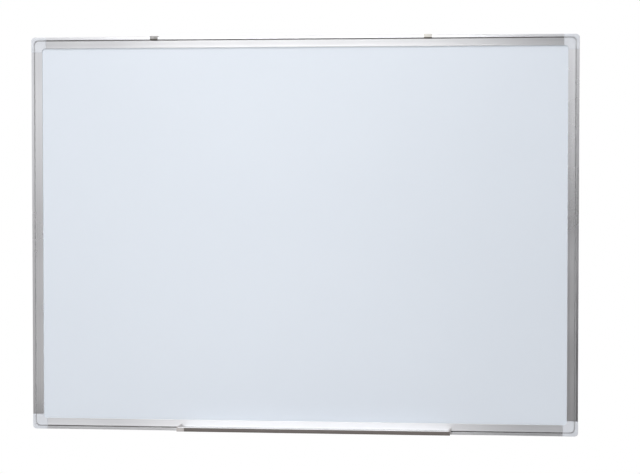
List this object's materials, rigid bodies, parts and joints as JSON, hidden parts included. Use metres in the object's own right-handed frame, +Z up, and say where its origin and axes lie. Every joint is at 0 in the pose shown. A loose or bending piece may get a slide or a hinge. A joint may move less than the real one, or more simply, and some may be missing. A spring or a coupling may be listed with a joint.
{
  "type": "whiteboard",
  "caption": "Wall-hung magnetic whiteboard in a grooved aluminium frame with moulded corners, a sliding pen tray and sliding top hangers.",
  "frame": {"origin": "centre of the rear face of the backing sheet", "axes": "+X to the right as seen from the front, +Z up, the writing surface faces -Y and the wall is on the +Y side"},
  "size_m": [1.2, 0.0714, 0.8666],
  "materials": {
    "white_lacquer": "smooth satin-gloss lacquer, faintly bluish white",
    "core_board": "light fibre core",
    "galvanised_sheet": "thin galvanised sheet",
    "anodised_aluminium": "fine satin anodised extrusion",
    "light_grey_plastic": "fine-grained moulded plastic",
    "warm_grey_plastic": "fine-grained moulded plastic, a warm middle grey",
    "dark_trim_plastic": "extruded dark brownish grey plastic",
    "zinc_plated_steel": "zinc plated"
  },
  "bodies": {
    "root": {"backing_sheet": "galvanised_sheet", "core_panel": "core_board", "writing_sheet": "white_lacquer", "rail_left": "anodised_aluminium", "rail_top": "anodised_aluminium", "rail_right": "anodised_aluminium", "rail_bottom": "anodised_aluminium", "corner_top_left": "light_grey_plastic", "corner_top_right": "light_grey_plastic", "corner_bottom_right": "light_grey_plastic", "corner_bottom_left": "light_grey_plastic", "corner_screw_01": "zinc_plated_steel", "corner_screw_02": "zinc_plated_steel", "corner_screw_03": "zinc_plated_steel", "corner_screw_04": "zinc_plated_steel", "corner_screw_05": "zinc_plated_steel", "corner_screw_06": "zinc_plated_steel", "corner_screw_07": "zinc_plated_steel", "corner_screw_08": "zinc_plated_steel"},
    "tray": {"tray_channel": "anodised_aluminium", "tray_front_trim": "dark_trim_plastic", "tray_end_cap_left": "warm_grey_plastic", "tray_end_cap_right": "warm_grey_plastic"},
    "hanger_left": {"hanger_left": "zinc_plated_steel"},
    "hanger_right": {"hanger_right": "zinc_plated_steel"}
  },
  "joints": [
    {"name": "tray_slide", "type": "slide", "parent": "root", "child": "tray", "axis": [1, 0, 0], "range_m": [-0.302, 0.242]},
    {"name": "hanger_left_slide", "type": "slide", "parent": "root", "child": "hanger_left", "axis": [1, 0, 0], "range_m": [-0.2165, 0.3155]},
    {"name": "hanger_right_slide", "type": "slide", "parent": "root", "child": "hanger_right", "axis": [1, 0, 0], "range_m": [-0.2655, 0.2665]}
  ]
}
